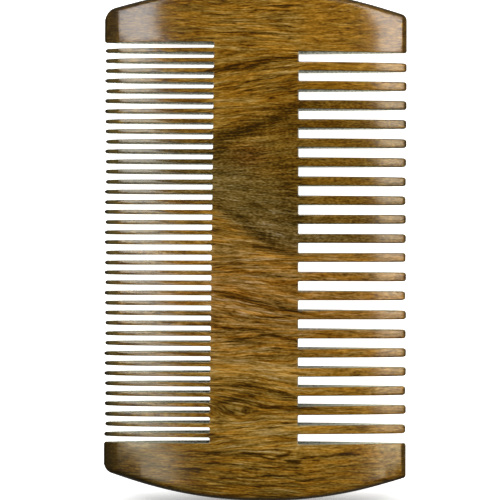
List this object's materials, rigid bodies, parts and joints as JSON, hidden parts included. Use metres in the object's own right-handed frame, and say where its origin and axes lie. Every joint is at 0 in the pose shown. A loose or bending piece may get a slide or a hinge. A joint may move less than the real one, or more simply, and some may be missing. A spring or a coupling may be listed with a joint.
{
  "type": "beard comb",
  "caption": "Double-sided wooden pocket beard comb: fine teeth along one edge, coarse teeth along the other, a broad spine between them and a solid guard at each end.",
  "frame": {"origin": "centre of the comb's bounding box, on the underside that it lies on", "axes": "+X towards the coarse tips and -X towards the fine tips, along the teeth; +Y along the spine towards the end whose guard is deeper on the coarse side; +Z out of the face"},
  "size_m": [0.0624, 0.1054, 0.009],
  "materials": {
    "green_sandalwood": "satin"
  },
  "bodies": {
    "root": {"coarse_tooth_01": "green_sandalwood", "coarse_tooth_02": "green_sandalwood", "coarse_tooth_03": "green_sandalwood", "coarse_tooth_04": "green_sandalwood", "coarse_tooth_05": "green_sandalwood", "coarse_tooth_06": "green_sandalwood", "coarse_tooth_07": "green_sandalwood", "coarse_tooth_08": "green_sandalwood", "coarse_tooth_09": "green_sandalwood", "coarse_tooth_10": "green_sandalwood", "coarse_tooth_11": "green_sandalwood", "coarse_tooth_12": "green_sandalwood", "coarse_tooth_13": "green_sandalwood", "coarse_tooth_14": "green_sandalwood", "coarse_tooth_15": "green_sandalwood", "coarse_tooth_16": "green_sandalwood", "coarse_tooth_17": "green_sandalwood", "coarse_tooth_18": "green_sandalwood", "coarse_tooth_19": "green_sandalwood", "coarse_tooth_20": "green_sandalwood", "comb_body": "green_sandalwood", "fine_tooth_01": "green_sandalwood", "fine_tooth_02": "green_sandalwood", "fine_tooth_03": "green_sandalwood", "fine_tooth_04": "green_sandalwood", "fine_tooth_05": "green_sandalwood", "fine_tooth_06": "green_sandalwood", "fine_tooth_07": "green_sandalwood", "fine_tooth_08": "green_sandalwood", "fine_tooth_09": "green_sandalwood", "fine_tooth_10": "green_sandalwood", "fine_tooth_11": "green_sandalwood", "fine_tooth_12": "green_sandalwood", "fine_tooth_13": "green_sandalwood", "fine_tooth_14": "green_sandalwood", "fine_tooth_15": "green_sandalwood", "fine_tooth_16": "green_sandalwood", "fine_tooth_17": "green_sandalwood", "fine_tooth_18": "green_sandalwood", "fine_tooth_19": "green_sandalwood", "fine_tooth_20": "green_sandalwood", "fine_tooth_21": "green_sandalwood", "fine_tooth_22": "green_sandalwood", "fine_tooth_23": "green_sandalwood", "fine_tooth_24": "green_sandalwood", "fine_tooth_25": "green_sandalwood", "fine_tooth_26": "green_sandalwood", "fine_tooth_27": "green_sandalwood", "fine_tooth_28": "green_sandalwood", "fine_tooth_29": "green_sandalwood", "fine_tooth_30": "green_sandalwood", "fine_tooth_31": "green_sandalwood", "fine_tooth_32": "green_sandalwood", "fine_tooth_33": "green_sandalwood", "fine_tooth_34": "green_sandalwood", "fine_tooth_35": "green_sandalwood", "fine_tooth_36": "green_sandalwood", "fine_tooth_37": "green_sandalwood", "fine_tooth_38": "green_sandalwood", "fine_tooth_39": "green_sandalwood"}
  },
  "joints": []
}
